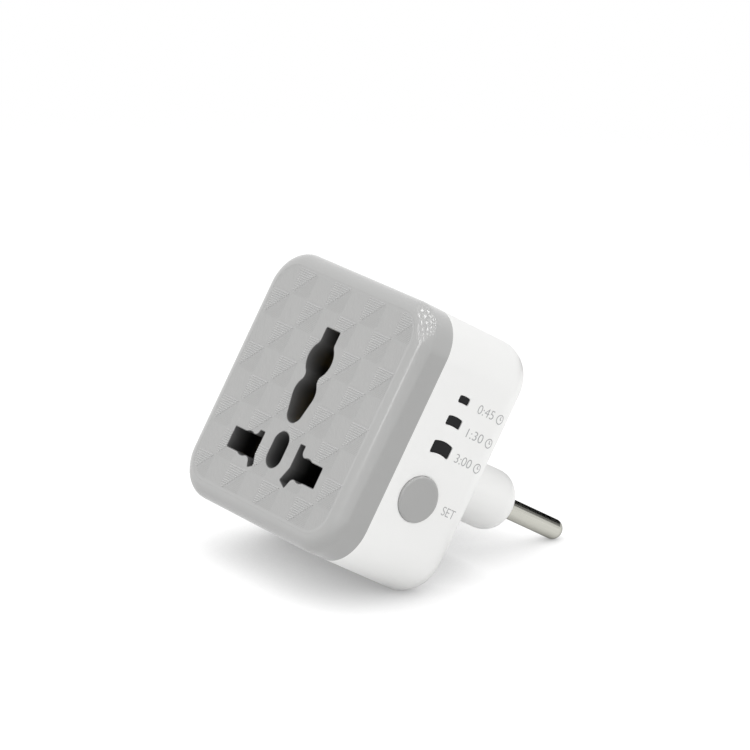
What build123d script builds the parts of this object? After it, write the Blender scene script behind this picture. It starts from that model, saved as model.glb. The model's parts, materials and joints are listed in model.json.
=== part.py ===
"""Plug-in surge protector with a countdown timer.

A square two-shell housing plugs into the wall with two round pins on an oblong boss. Its front
face is a socket for many plug types. A push button on the right side sets the countdown, and three
smoked windows above it show the time that is left.

The origin lies midway between the two pins, on the end face of the boss that meets the wall.
+X is to the right seen from the front, +Y runs along the pins into the wall, and +Z is up.
Depths are counted from the front face towards the wall, heights from the middle of the body.
"""

import os
from math import sqrt

from build123d import *

os.makedirs("parts", exist_ok=True)

# Housing
body_width = 50.0
body_height = 50.0
body_depth = 28.9
body_above_pins = 2.6
corner_radius = 8.0
front_edge_radius = 2.8
rear_edge_radius = 5.5
cover_depth = 7.0
wall = 2.0
face_thickness = 2.0
rear_wall = 2.2
tongue_length = 1.6
tongue_thickness = 0.9
tongue_clearance = 0.15
field_margin = 2.9
field_recess = 0.12

# Plug boss and pins
boss_length = 35.3
boss_height = 11.8
boss_reach = 15.8
boss_edge_radius = 4.0
boss_root_radius = 0.8
boss_root_margin = 0.2
boss_wall = 2.0
boss_end_wall = 4.6
pin_radius = 2.0
pin_spacing = 19.0
pin_reach = 17.8
pin_tip_radius = 1.7
pin_fit = 0.05
pin_shank_radius = 2.3
pin_collar_radius = 3.4
pin_collar_thickness = 1.2
pin_tail_radius = 1.5
pin_tail_length = 2.4

# Pin straps
strap_thickness = 0.6
strap_width = 5.0
strap_bend_radius = 1.0
strap_foot = 2.6
strap_rise = 2.8
strap_clearance = 0.3

# Socket cut-outs, as widths across, heights on the face and radii
line_height = -12.2
line_inner = 5.45
line_outer = 14.5
line_slot_height = 4.4
round_pin_hole_radius = 2.55
ear_width = 1.8
live_upper_ear = 4.4
neutral_upper_ear = 3.5
lower_ear_root = 7.1
lower_ear_angle = 25.0
live_lower_ear = (2.6, 4.3)
neutral_lower_ear = (1.9, 4.0)
slot_blend_radius = 1.0
slot_corner_radius = 0.35
earth_top = 13.67
earth_top_width = 4.6
earth_lobe_height = 7.5
earth_lobe_radius = 3.8
earth_neck_width = 4.4
earth_waist_height = 0.7
earth_waist_radius = 3.35
earth_foot_height = -2.9
earth_foot_radius = 2.4
earth_blend_radius = 1.2
oval_height = -10.73
oval_width = 4.66
oval_length = 7.46

# Contact carrier and spring contacts
retainer_thickness = 1.2
carrier_wall = 1.4
pocket_margin = 0.7
contact_thickness = 0.6
contact_bend_radius = 0.7
contact_entry_depth = 5.2
contact_grip_depth = 9.0
contact_grip_gap = 1.8
contact_side_clearance = 0.3
contact_mouth_gap = 7.0
contact_tab_width = 2.2
contact_tab_reach = 1.2
peg_radius = 1.2
peg_length = 3.0
peg_clearance = 0.2
peg_across = 11.5
peg_height = -6.9
carrier_top_of_line = -4.4

# Housing screws
post_inset_across = 4.8
post_inset_height = 3.5
post_radius = 2.5
post_clearance = 0.3
screw_radius = 1.1
screw_clearance = 0.2
pilot_clearance = 0.06
screw_tip_cover = 1.9
screw_head_radius = 2.0
screw_head_thickness = 1.6
screw_head_clearance = 0.25
screw_sink = 5.0
screw_cup_wall = 0.8
screw_cup_floor = 1.2
screw_recess_width = 0.6
screw_recess_length = 2.4
screw_recess_depth = 0.9

# Main board and what stands on it
board_thickness = 1.6
board_edge_gap = 2.0
back_room = 4.4
standoff_radius = 2.0
standoff_inset = 5.0
standoff_sides = ((-1, -10.0), (1, -10.0), (-1, 5.7), (1, 11.5))
part_gap = 0.4
case_corner_radius = 0.7
case_edge_radius = 0.4
lead_radius = 0.4
lead_clearance = 0.2
lead_reach = 0.9
lead_bend_radius = 0.7
return_lead_gap = 0.5
return_lead_loop = 1.2
relay_wall_gap = 2.0
relay_post_gap = 1.8
relay_headroom = 3.3
relay_lead_inset = (1.4, 2.5)
film_size = (7.0, 13.0, 12.0)
film_lead_spacing = 10.0
can_radius = 3.15
can_length = 11.0
can_lead_spacing = 2.5
can_groove_height = 1.6
can_groove_depth = 0.35
can_groove_width = 0.7
varistor_radius = 6.0
varistor_thickness = 4.2
varistor_edge_radius = 1.4
varistor_lift = 1.0
varistor_lead_spacing = 7.5
fuse_radius = 1.8
fuse_length = 6.0
fuse_edge_radius = 0.6
fuse_lift = 1.2
resistor_radius = 1.6
resistor_waist_radius = 1.3
resistor_cap_length = 1.8
resistor_taper_length = 0.7
resistor_length = 9.0
resistor_lift = 1.2
diode_size = (4.2, 2.6, 2.2)
diode_spacing = (6.4, 4.2)
diode_count = (2, 2)
diode_place = (0.0, 11.0)
diode_tab = 0.7
diode_tab_thickness = 0.6

# Display board, switch, lamps and lens on the right side
display_thickness = 1.0
display_setback = 3.4
display_front_depth = 9.2
chip_size = (5.0, 4.0, 1.5)
chip_leg_pitch = 1.27
chip_leg_size = (0.9, 0.4, 0.5)
chip_leg_count = (2, 4)
header_length = 10.2
header_size = 2.4
header_pin_pitch = 2.54
header_pins = 4
lamp_size = (2.0, 1.0, 0.9)
lamp_corner_radius = 0.2
switch_size = 4.6
switch_thickness = 1.4
plunger_radius = 1.2
plunger_clearance = 0.3
plunger_edge_radius = 0.2
plunger_gap = 0.05
button_depth = 14.65
button_height = -7.9
button_radius = 4.4
button_clearance = 0.15
button_proud = 0.5
button_edge_radius = 0.4
button_flange_radius = 5.6
button_flange_thickness = 1.0
button_play = 0.05
button_travel = 0.45
lens_plate_thickness = 1.2
lens_plate_width = 6.0
lens_plate_top = 13.9
lens_plate_bottom = -0.6
lens_clearance = 0.08
lens_sunk = 0.15
lens_pipe_gap = 0.3
lens_pipe_margin = 0.3
window_arc_radius = 6.5
window_corner_radius = 0.35
windows = ((11.93, 2.6, 1.45), (7.64, 3.6, 1.88), (2.35, 4.7, 2.5))

# Places that follow from the sizes above
front_y = -(body_depth + boss_reach)
boss_end_depth = body_depth + boss_reach
inner_width = body_width - 2 * wall
inner_height = body_height - 2 * wall
inner_radius = corner_radius - wall
inner_depth = body_depth - rear_wall
inner_x = inner_width / 2
inner_z = inner_height / 2
board_back = inner_depth - back_room
board_front = board_back - board_thickness
carrier_back = board_front - retainer_thickness
carrier_depth = carrier_back - face_thickness
post_joint = cover_depth + tongue_length
screw_seat = body_depth - screw_sink
screw_tip = face_thickness + screw_tip_cover
screw_length = screw_seat - screw_tip
post_across = inner_x - post_inset_across
post_height = inner_z - post_inset_height
rear_round = min(
    rear_edge_radius,
    (body_width - boss_length) / 2 - boss_root_radius - boss_root_margin,
    body_depth - button_depth - button_flange_radius,
)
pocket_inner = line_inner - 2 * pocket_margin
pocket_outer = line_outer + pocket_margin
pocket_half_height = round_pin_hole_radius + pocket_margin / 2
ear_pocket_outer = lower_ear_root + 2 * pocket_margin
ear_pocket_top = line_height + live_upper_ear + pocket_margin
ear_pocket_bottom = line_height - live_lower_ear[1] - pocket_margin
earth_pocket_width = 2 * (earth_lobe_radius + pocket_margin)
earth_pocket_top = earth_top + pocket_margin
earth_pocket_bottom = earth_foot_height - earth_foot_radius - pocket_margin / 2
oval_pocket_width = oval_width + pocket_margin
oval_pocket_length = oval_length + pocket_margin
stem_half_width = earth_pocket_width / 2 + carrier_wall
parts_floor = carrier_top_of_line + part_gap
display_x = inner_x - display_setback
display_half_height = post_height - post_radius - post_clearance
header_x = display_x - display_thickness - header_size / 2
header_height = parts_floor + header_length / 2
chip_depth = (display_front_depth + board_front) / 2
chip_height = header_height + (header_length + chip_size[0]) / 2 + part_gap
button_back_x = inner_x - button_play - button_flange_thickness
plunger_top_x = button_back_x - plunger_gap
lamp_top_x = display_x + lamp_size[2]
strap_height = -body_above_pins + strap_rise
tab_places = [(side * (pocket_inner + pocket_outer) / 2, line_height) for side in (-1, 1)]
standoff_places = [(side * (inner_x - standoff_inset), height) for side, height in standoff_sides]
post_places = [(x, z) for x in (-post_across, post_across) for z in (-post_height, post_height)]
peg_places = [(side * peg_across, peg_height) for side in (-1, 1)]
pin_places = [(side * pin_spacing / 2, -body_above_pins) for side in (-1, 1)]


def upright(depth):
    """A plane parallel to the wall: X right, Z up, extruding towards the front."""
    return Plane(origin=(0, front_y + depth, body_above_pins), x_dir=(1, 0, 0), z_dir=(0, -1, 0))


def sideways(x):
    """A plane parallel to the right side: depth across, Z up, extruding to the right."""
    return Plane(origin=(x, front_y, body_above_pins), x_dir=(0, 1, 0), z_dir=(1, 0, 0))


def level(height):
    """A plane parallel to the floor: X right, depth upwards on the sketch, extruding up."""
    return Plane(origin=(0, front_y, body_above_pins + height), x_dir=(1, 0, 0), z_dir=(0, 0, 1))


def place(x, depth, height):
    """A point given by its place across, its depth and its height on the body."""
    return (x, front_y + depth, body_above_pins + height)


def finish(builder, name):
    """Labels a finished piece and writes it."""
    builder.part.label = name
    export_step(builder.part, f"parts/{name}.step")


def line_slot(side, upper_ear, lower_ear):
    """Cut-out for one line pin: round and flat pins, an upright blade and a slanted blade."""
    lower_width, lower_length = lower_ear
    with BuildSketch() as slot:
        with Locations((side * (line_inner + line_outer) / 2, line_height)):
            Rectangle(line_outer - line_inner, line_slot_height)
        with Locations((side * pin_spacing / 2, line_height)):
            Circle(round_pin_hole_radius)
        with Locations((side * (line_inner + ear_width / 2), line_height)):
            Rectangle(ear_width, upper_ear, align=(Align.CENTER, Align.MIN))
        with Locations(Location((side * lower_ear_root, line_height, 0), (0, 0, -side * lower_ear_angle))):
            Rectangle(lower_width, lower_length, align=(Align.CENTER, Align.MAX))
        # Growing and shrinking blends the inner corners, shrinking and growing rounds the outer ones
        offset(amount=slot_blend_radius, mode=Mode.REPLACE)
        offset(amount=-slot_blend_radius - slot_corner_radius, mode=Mode.REPLACE)
        offset(amount=slot_corner_radius, mode=Mode.REPLACE)
    return slot.sketch


def earth_slot():
    """Cut-out for the earth pins, a row of lobes with flowing sides."""
    with BuildSketch() as foot:
        with Locations((0, earth_waist_height)):
            Circle(earth_waist_radius)
        with Locations((0, earth_foot_height)):
            Circle(earth_foot_radius)
        make_hull()
    with BuildSketch() as slot:
        with Locations((0, earth_lobe_height)):
            Circle(earth_lobe_radius)
            Rectangle(earth_top_width, earth_top - earth_lobe_height, align=(Align.CENTER, Align.MIN))
            Rectangle(
                earth_neck_width,
                earth_lobe_height - earth_waist_height,
                align=(Align.CENTER, Align.MAX),
            )
        add(foot.sketch)
        highest = earth_top - earth_blend_radius
        corners = slot.vertices().filter_by(lambda v: earth_waist_height < v.Y < highest)
        fillet(corners, earth_blend_radius)
        fillet(slot.vertices().group_by(Axis.Y)[-1], slot_corner_radius)
    return slot.sketch


def window_outline(width, height, shrink):
    """A window with parallel arched top and bottom edges, drawn smaller all round by shrink."""
    half_width = width / 2
    sag = window_arc_radius - sqrt(window_arc_radius**2 - half_width**2)
    top = height / 2
    with BuildSketch() as outline:
        with BuildLine():
            ThreePointArc((-half_width, top - sag), (0, top), (half_width, top - sag))
            Line((half_width, top - sag), (half_width, -top - sag))
            ThreePointArc((half_width, -top - sag), (0, -top), (-half_width, -top - sag))
            Line((-half_width, -top - sag), (-half_width, top - sag))
        make_face()
        fillet(outline.vertices(), window_corner_radius)
        if shrink > 0:
            offset(amount=-shrink, mode=Mode.REPLACE)
    return outline.sketch


def bent_lead(points):
    """A round wire lead along a line with rounded corners."""
    with BuildPart() as lead:
        with BuildLine() as path:
            FilletPolyline(*points, radius=lead_bend_radius)
        with BuildSketch(Plane(origin=path.line @ 0, z_dir=path.line % 0)):
            Circle(lead_radius)
        sweep()
    return lead.part


# Front cover: a shallow shell with the socket cut-outs, a tongue that enters the rear housing,
# posts that take the screws and pegs that locate the contact carrier
with BuildPart() as front_cover:
    with BuildSketch(upright(cover_depth)):
        RectangleRounded(body_width, body_height, corner_radius)
    extrude(amount=cover_depth)
    fillet(front_cover.faces().sort_by(Axis.Y)[0].edges(), front_edge_radius)
    with BuildSketch(upright(cover_depth)):
        RectangleRounded(inner_width, inner_height, inner_radius)
    extrude(amount=cover_depth - face_thickness, mode=Mode.SUBTRACT)
    with BuildSketch(upright(cover_depth + tongue_length)):
        tongue_growth = 2 * tongue_thickness
        RectangleRounded(
            inner_width + tongue_growth,
            inner_height + tongue_growth,
            inner_radius + tongue_thickness,
        )
        RectangleRounded(inner_width, inner_height, inner_radius, mode=Mode.SUBTRACT)
    extrude(amount=tongue_length)
    with BuildSketch(upright(field_recess)):
        RectangleRounded(
            body_width - 2 * field_margin,
            body_height - 2 * field_margin,
            corner_radius - field_margin,
        )
    extrude(amount=field_recess, mode=Mode.SUBTRACT)
    with BuildSketch(upright(post_joint)):
        with Locations(*post_places):
            Circle(post_radius)
    extrude(amount=post_joint - face_thickness)
    with BuildSketch(upright(post_joint)):
        with Locations(*post_places):
            Circle(screw_radius + pilot_clearance)
    extrude(amount=post_joint - screw_tip + screw_clearance, mode=Mode.SUBTRACT)
    with BuildSketch(upright(face_thickness + peg_length)):
        with Locations(*peg_places):
            Circle(peg_radius)
    extrude(amount=peg_length)
    with BuildSketch(upright(face_thickness)):
        add(line_slot(1, live_upper_ear, live_lower_ear))
        add(line_slot(-1, neutral_upper_ear, neutral_lower_ear))
        add(earth_slot())
        with Locations((0, oval_height)):
            SlotOverall(oval_length, oval_width, rotation=90)
    extrude(amount=face_thickness, mode=Mode.SUBTRACT)
finish(front_cover, "front_cover")

# Room inside the rear housing and inside the boss
with BuildPart() as housing_room:
    with BuildSketch(upright(inner_depth)):
        RectangleRounded(inner_width, inner_height, inner_radius)
    extrude(amount=inner_depth - cover_depth)
    fillet(housing_room.faces().sort_by(Axis.Y)[-1].edges(), rear_round - wall)
    with BuildSketch(upright(boss_end_depth - boss_end_wall)):
        with Locations((0, -body_above_pins)):
            SlotOverall(boss_length - 2 * boss_wall, boss_height - 2 * boss_wall)
    extrude(amount=boss_reach + rear_wall - boss_end_wall)

# Rear housing: a deep cup with the oblong boss, sunk screw posts and board standoffs
with BuildPart() as rear_housing:
    with BuildSketch(upright(body_depth)):
        RectangleRounded(body_width, body_height, corner_radius)
    extrude(amount=body_depth - cover_depth)
    fillet(rear_housing.faces().sort_by(Axis.Y)[-1].edges(), rear_round)
    with BuildSketch(upright(boss_end_depth)):
        with Locations((0, -body_above_pins)):
            SlotOverall(boss_length, boss_height)
    extrude(amount=boss_reach)
    fillet(rear_housing.faces().sort_by(Axis.Y)[-1].edges(), boss_edge_radius)
    rear_face = rear_housing.faces().filter_by(Plane.XZ).sort_by(Axis.Y)[-2]
    fillet(rear_face.inner_wires()[0].edges(), boss_root_radius)
    add(housing_room.part, mode=Mode.SUBTRACT)
    with BuildSketch(upright(cover_depth + tongue_length + tongue_clearance)):
        rebate_growth = tongue_thickness + tongue_clearance
        RectangleRounded(
            inner_width + 2 * rebate_growth,
            inner_height + 2 * rebate_growth,
            inner_radius + rebate_growth,
        )
    extrude(amount=tongue_length + tongue_clearance, mode=Mode.SUBTRACT)
    with BuildSketch(upright(inner_depth)):
        with Locations(*post_places):
            Circle(post_radius)
    extrude(amount=inner_depth - post_joint)
    with BuildSketch(upright(inner_depth)):
        with Locations(*post_places):
            Circle(screw_head_radius + screw_head_clearance + screw_cup_wall)
    extrude(amount=inner_depth - screw_seat + screw_cup_floor)
    with BuildSketch(upright(inner_depth)):
        with Locations(*standoff_places):
            Circle(standoff_radius)
    extrude(amount=inner_depth - board_back)
    with BuildSketch(upright(body_depth)):
        with Locations(*post_places):
            Circle(screw_radius + screw_clearance)
    extrude(amount=body_depth - post_joint, mode=Mode.SUBTRACT)
    with BuildSketch(upright(body_depth)):
        with Locations(*post_places):
            Circle(screw_head_radius + screw_head_clearance)
    extrude(amount=screw_sink, mode=Mode.SUBTRACT)
    with BuildSketch(upright(boss_end_depth)):
        with Locations(*pin_places):
            Circle(pin_shank_radius + pin_fit)
    extrude(amount=boss_end_wall, mode=Mode.SUBTRACT)
    with BuildSketch(sideways(inner_x)):
        with Locations((button_depth, button_height)):
            Circle(button_radius + button_clearance)
        for window_height, window_width, window_tall in windows:
            with Locations((button_depth, window_height)):
                add(window_outline(window_width, window_tall, 0))
    extrude(amount=wall, mode=Mode.SUBTRACT)
finish(rear_housing, "rear_housing")

# Plug pins: round pins on a thicker shank, a collar that bears on the inside of the boss, a riveted tail
for pin_name, (pin_x, pin_z) in zip(("plug_pin_left", "plug_pin_right"), pin_places):
    collar_depth = boss_end_depth - boss_end_wall
    with BuildPart() as plug_pin:
        with BuildSketch(upright(boss_end_depth + pin_reach)):
            with Locations((pin_x, pin_z)):
                Circle(pin_radius)
        extrude(amount=pin_reach)
        fillet(plug_pin.edges().sort_by(Axis.Y)[-1], pin_tip_radius)
        with BuildSketch(upright(boss_end_depth)):
            with Locations((pin_x, pin_z)):
                Circle(pin_shank_radius)
        extrude(amount=boss_end_wall)
        with BuildSketch(upright(collar_depth)):
            with Locations((pin_x, pin_z)):
                Circle(pin_collar_radius)
        extrude(amount=pin_collar_thickness)
        with BuildSketch(upright(collar_depth - pin_collar_thickness)):
            with Locations((pin_x, pin_z)):
                Circle(pin_tail_radius)
        extrude(amount=pin_tail_length)
    finish(plug_pin, pin_name)

# Pin straps: bent brass strips from the pin tails to the main board
for strap_name, (pin_x, pin_z) in zip(("pin_strap_left", "pin_strap_right"), pin_places):
    strap_face = boss_end_depth - boss_end_wall - pin_collar_thickness
    strap_middle = strap_face - strap_thickness / 2
    with BuildPart() as pin_strap:
        with BuildSketch(sideways(pin_x - strap_width / 2)):
            with BuildLine():
                FilletPolyline(
                    (strap_middle, pin_z - strap_foot),
                    (strap_middle, strap_height),
                    (board_front + board_thickness / 2, strap_height),
                    radius=strap_bend_radius,
                )
            trace(line_width=strap_thickness)
        extrude(amount=strap_width)
        with BuildSketch(upright(strap_face)):
            with Locations((pin_x, pin_z)):
                Circle(pin_tail_radius + pin_fit)
        extrude(amount=strap_thickness, mode=Mode.SUBTRACT)
    finish(pin_strap, strap_name)


def carrier_outline():
    """Outline of the contact carrier: a wide foot behind the line slots and a stem behind the earth slot."""
    line_bottom = line_height - pocket_half_height - carrier_wall
    ear_bottom = ear_pocket_bottom - carrier_wall
    stem_top = earth_pocket_top + carrier_wall
    upwards = (Align.CENTER, Align.MIN)
    with BuildSketch() as outline:
        with Locations((0, line_bottom)):
            Rectangle(2 * (pocket_outer + carrier_wall), carrier_top_of_line - line_bottom, align=upwards)
        with Locations((0, ear_bottom)):
            Rectangle(2 * (ear_pocket_outer + carrier_wall), line_bottom - ear_bottom, align=upwards)
        with Locations((0, carrier_top_of_line)):
            Rectangle(
                earth_pocket_width + 2 * carrier_wall,
                stem_top - carrier_top_of_line,
                align=upwards,
            )
        with Locations(*post_places):
            Circle(post_radius + post_clearance, mode=Mode.SUBTRACT)
    return outline.sketch


# Contact carrier: an insulating block with a pocket behind each cut-out
with BuildPart() as contact_carrier:
    with BuildSketch(upright(carrier_back)):
        add(carrier_outline())
    extrude(amount=carrier_depth)
    with BuildSketch(upright(carrier_back)):
        for side in (-1, 1):
            with Locations((side * (pocket_inner + pocket_outer) / 2, line_height)):
                Rectangle(pocket_outer - pocket_inner, 2 * pocket_half_height)
            with Locations((side * (pocket_inner + ear_pocket_outer) / 2, ear_pocket_bottom)):
                Rectangle(
                    ear_pocket_outer - pocket_inner,
                    ear_pocket_top - ear_pocket_bottom,
                    align=(Align.CENTER, Align.MIN),
                )
        with Locations((0, earth_pocket_bottom)):
            Rectangle(
                earth_pocket_width,
                earth_pocket_top - earth_pocket_bottom,
                align=(Align.CENTER, Align.MIN),
            )
        with Locations((0, oval_height)):
            SlotOverall(oval_pocket_length, oval_pocket_width, rotation=90)
    extrude(amount=carrier_depth, mode=Mode.SUBTRACT)
    with BuildSketch(upright(face_thickness + peg_length + peg_clearance)):
        with Locations(*peg_places):
            Circle(peg_radius + peg_clearance)
    extrude(amount=peg_length + peg_clearance, mode=Mode.SUBTRACT)
finish(contact_carrier, "contact_carrier")

# Contact retainer: a plate that closes the pockets from behind and bears on the main board
with BuildPart() as contact_retainer:
    with BuildSketch(upright(board_front)):
        add(carrier_outline())
        with Locations(*tab_places):
            Rectangle(
                contact_tab_width + 2 * strap_clearance,
                contact_thickness + 2 * strap_clearance,
                mode=Mode.SUBTRACT,
            )
    extrude(amount=retainer_thickness)
finish(contact_retainer, "contact_retainer")


def spring_profile(half_room, mouth_gap):
    """Face of a folded strip along its depth: a web at the back, two leaves that pinch in and flare out."""
    web = carrier_back - contact_thickness / 2
    leaf = half_room - contact_side_clearance - contact_thickness / 2
    grip = (contact_grip_gap + contact_thickness) / 2
    mouth = (mouth_gap + contact_thickness) / 2
    entry = face_thickness + contact_entry_depth
    narrow = face_thickness + contact_grip_depth
    with BuildSketch() as profile:
        with BuildLine():
            FilletPolyline(
                (entry, mouth),
                (narrow, grip),
                (web, leaf),
                (web, -leaf),
                (narrow, -grip),
                (entry, -mouth),
                radius=contact_bend_radius,
            )
        trace(line_width=contact_thickness)
    return profile.sketch


# Line contacts: folded brass springs whose leaves grip a pin from above and below
line_mouth_gap = 2 * (pocket_half_height - contact_side_clearance - contact_thickness)
for contact_name, side in (("neutral_contact", -1), ("live_contact", 1)):
    near, far = sorted((side * ear_pocket_outer, side * (pocket_outer - contact_side_clearance)))
    with BuildPart() as line_contact:
        with BuildSketch(sideways(near)):
            with Locations((0, line_height)):
                add(spring_profile(pocket_half_height, line_mouth_gap))
        extrude(amount=far - near)
        with BuildSketch(upright(board_back + contact_tab_reach)):
            with Locations((side * (pocket_inner + pocket_outer) / 2, line_height)):
                Rectangle(contact_tab_width, contact_thickness)
        extrude(amount=board_back + contact_tab_reach - carrier_back)
    finish(line_contact, contact_name)

# Earth contact: the same folded form, gripping from both sides along the whole earth slot
with BuildPart() as earth_contact:
    earth_low = earth_pocket_bottom + contact_side_clearance
    with BuildSketch(level(earth_low)):
        add(spring_profile(earth_pocket_width / 2, contact_mouth_gap), rotation=90)
    extrude(amount=earth_pocket_top - contact_side_clearance - earth_low)
finish(earth_contact, "earth_contact")

# Room for the relay, between the side wall, the column of small parts and the upper post
column_x = -(stem_half_width + part_gap + varistor_thickness / 2)
relay_outer = relay_wall_gap - inner_x
relay_inner = column_x - varistor_thickness / 2 - part_gap
relay_top = post_height - post_radius - relay_post_gap
relay_place = ((relay_outer + relay_inner) / 2, (relay_top + parts_floor) / 2)
relay_tall = board_front - face_thickness - relay_headroom
relay_size = (relay_inner - relay_outer, relay_top - parts_floor, relay_tall)

# Places of the other parts, each beside the one before
film_place = (stem_half_width + part_gap + film_size[0] / 2, parts_floor + film_size[1] / 2)
can_place = (
    stem_half_width + part_gap + can_radius,
    film_place[1] + film_size[1] / 2 + part_gap + can_radius,
)
varistor_height = parts_floor + varistor_radius
fuse_height = varistor_height + varistor_radius + part_gap + fuse_radius
fuse_return = fuse_height + fuse_radius + return_lead_gap + lead_radius
resistor_height = fuse_return + lead_radius + part_gap + resistor_radius
resistor_x = column_x - return_lead_gap / 2 - lead_radius
resistor_return = resistor_x + resistor_radius + return_lead_gap + lead_radius

# Lead places on the main board, by the piece that stands there
relay_leads = [
    (
        relay_place[0] + x * (relay_size[0] / 2 - relay_lead_inset[0]),
        relay_place[1] + z * (relay_size[1] / 2 - relay_lead_inset[1]),
    )
    for x in (-1, 1)
    for z in (-1, 1)
]
film_leads = [(film_place[0], film_place[1] + s * film_lead_spacing / 2) for s in (-1, 1)]
can_leads = [(can_place[0] + s * can_lead_spacing / 2, can_place[1]) for s in (-1, 1)]
varistor_leads = [(column_x, varistor_height + s * varistor_lead_spacing / 2) for s in (-1, 1)]
fuse_leads = [(column_x, fuse_height), (column_x, fuse_return)]
resistor_leads = [(resistor_x, resistor_height), (resistor_return, resistor_height)]
header_steps = [(i - (header_pins - 1) / 2) * header_pin_pitch for i in range(header_pins)]
header_leads = [(header_x, header_height + step) for step in header_steps]
all_leads = relay_leads + film_leads + can_leads + varistor_leads + fuse_leads
all_leads = all_leads + resistor_leads + header_leads

# Main board: notched round the screw posts and drilled for every lead, tab and strap
with BuildPart() as main_board:
    with BuildSketch(upright(board_back)):
        board_left = board_edge_gap - inner_x
        with Locations(((board_left + display_x) / 2, 0)):
            Rectangle(display_x - board_left, inner_height - 2 * board_edge_gap)
        notch_x = post_across - post_radius - post_clearance
        notch_z = post_height - post_radius - post_clearance
        for side_x in (-1, 1):
            for side_z in (-1, 1):
                with Locations((side_x * (notch_x + inner_x) / 2, side_z * (notch_z + inner_z) / 2)):
                    Rectangle(inner_x - notch_x, inner_z - notch_z, mode=Mode.SUBTRACT)
        with Locations(*all_leads):
            Circle(lead_radius + lead_clearance, mode=Mode.SUBTRACT)
        with Locations(*tab_places):
            Rectangle(
                contact_tab_width + 2 * strap_clearance,
                contact_thickness + 2 * strap_clearance,
                mode=Mode.SUBTRACT,
            )
        with Locations(*[(x, strap_height) for x, z in pin_places]):
            Rectangle(
                strap_width + 2 * strap_clearance,
                strap_thickness + 2 * strap_clearance,
                mode=Mode.SUBTRACT,
            )
    extrude(amount=board_thickness)
finish(main_board, "main_board")


def straight_leads(places, from_depth):
    """Straight leads that run from a depth through the main board."""
    with BuildPart() as leads:
        with BuildSketch(upright(board_back + lead_reach)):
            with Locations(*places):
                Circle(lead_radius)
        extrude(amount=board_back + lead_reach - from_depth)
    return leads.part


# Relay: a rounded block that switches the socket
with BuildPart() as relay:
    with BuildSketch(upright(board_front)):
        with Locations(relay_place):
            RectangleRounded(relay_size[0], relay_size[1], case_corner_radius)
    extrude(amount=relay_size[2])
    chamfer(relay.faces().sort_by(Axis.Y)[0].edges(), case_edge_radius)
    add(straight_leads(relay_leads, board_front))
finish(relay, "relay")

# Film capacitor: a boxed dropper capacitor
with BuildPart() as film_capacitor:
    with BuildSketch(upright(board_front)):
        with Locations(film_place):
            RectangleRounded(film_size[0], film_size[1], case_corner_radius)
    extrude(amount=film_size[2])
    fillet(film_capacitor.faces().sort_by(Axis.Y)[0].edges(), case_edge_radius)
    add(straight_leads(film_leads, board_front))
finish(film_capacitor, "film_capacitor")

# Smoothing capacitor: a can with a crimped groove above its seal
with BuildPart() as smoothing_capacitor:
    with BuildSketch(upright(board_front)):
        with Locations(can_place):
            Circle(can_radius)
    extrude(amount=can_length)
    fillet(smoothing_capacitor.edges().sort_by(Axis.Y)[0], case_edge_radius)
    with BuildSketch(upright(board_front - can_groove_height)):
        with Locations(can_place):
            Circle(can_radius)
            Circle(can_radius - can_groove_depth, mode=Mode.SUBTRACT)
    extrude(amount=can_groove_width, mode=Mode.SUBTRACT)
    add(straight_leads(can_leads, board_front))
finish(smoothing_capacitor, "smoothing_capacitor")

# Varistor: the coated surge disc, standing on two leads beside the relay
varistor_depth = board_front - varistor_lift - varistor_radius
with BuildPart() as varistor:
    with BuildSketch(sideways(column_x - varistor_thickness / 2)):
        with Locations((varistor_depth, varistor_height)):
            Circle(varistor_radius)
    extrude(amount=varistor_thickness)
    fillet(varistor.edges().filter_by(GeomType.CIRCLE), varistor_edge_radius)
    add(straight_leads(varistor_leads, varistor_depth))
finish(varistor, "varistor")


def return_lead(x, height, end_depth, return_x, return_height):
    """A lead from the front end of a standing part that loops over and runs back to the board."""
    loop_depth = end_depth - return_lead_loop
    return bent_lead(
        [
            place(x, end_depth, height),
            place(x, loop_depth, height),
            place(return_x, loop_depth, return_height),
            place(return_x, board_back + lead_reach, return_height),
        ]
    )


# Thermal fuse: a small barrel standing above the varistor
fuse_foot = board_front - fuse_lift
with BuildPart() as thermal_fuse:
    with BuildSketch(upright(fuse_foot)):
        with Locations((column_x, fuse_height)):
            Circle(fuse_radius)
    extrude(amount=fuse_length)
    fillet(thermal_fuse.edges().filter_by(GeomType.CIRCLE), fuse_edge_radius)
    add(straight_leads(fuse_leads[:1], fuse_foot))
    add(return_lead(column_x, fuse_height, fuse_foot - fuse_length, column_x, fuse_return))
finish(thermal_fuse, "thermal_fuse")

# Dropper resistor: a waisted barrel standing above the fuse
resistor_foot = board_front - resistor_lift
resistor_end = resistor_foot - resistor_length
with BuildPart() as dropper_resistor:
    with BuildSketch(level(resistor_height)):
        full = resistor_x + resistor_radius
        waist = resistor_x + resistor_waist_radius
        with BuildLine():
            Polyline(
                (resistor_x, resistor_end),
                (full, resistor_end),
                (full, resistor_end + resistor_cap_length),
                (waist, resistor_end + resistor_cap_length + resistor_taper_length),
                (waist, resistor_foot - resistor_cap_length - resistor_taper_length),
                (full, resistor_foot - resistor_cap_length),
                (full, resistor_foot),
                (resistor_x, resistor_foot),
                close=True,
            )
        make_face()
    revolve(axis=Axis(place(resistor_x, resistor_end, resistor_height), (0, 1, 0)))
    add(straight_leads(resistor_leads[:1], resistor_foot))
    add(return_lead(resistor_x, resistor_height, resistor_end, resistor_return, resistor_height))
finish(dropper_resistor, "dropper_resistor")

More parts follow.
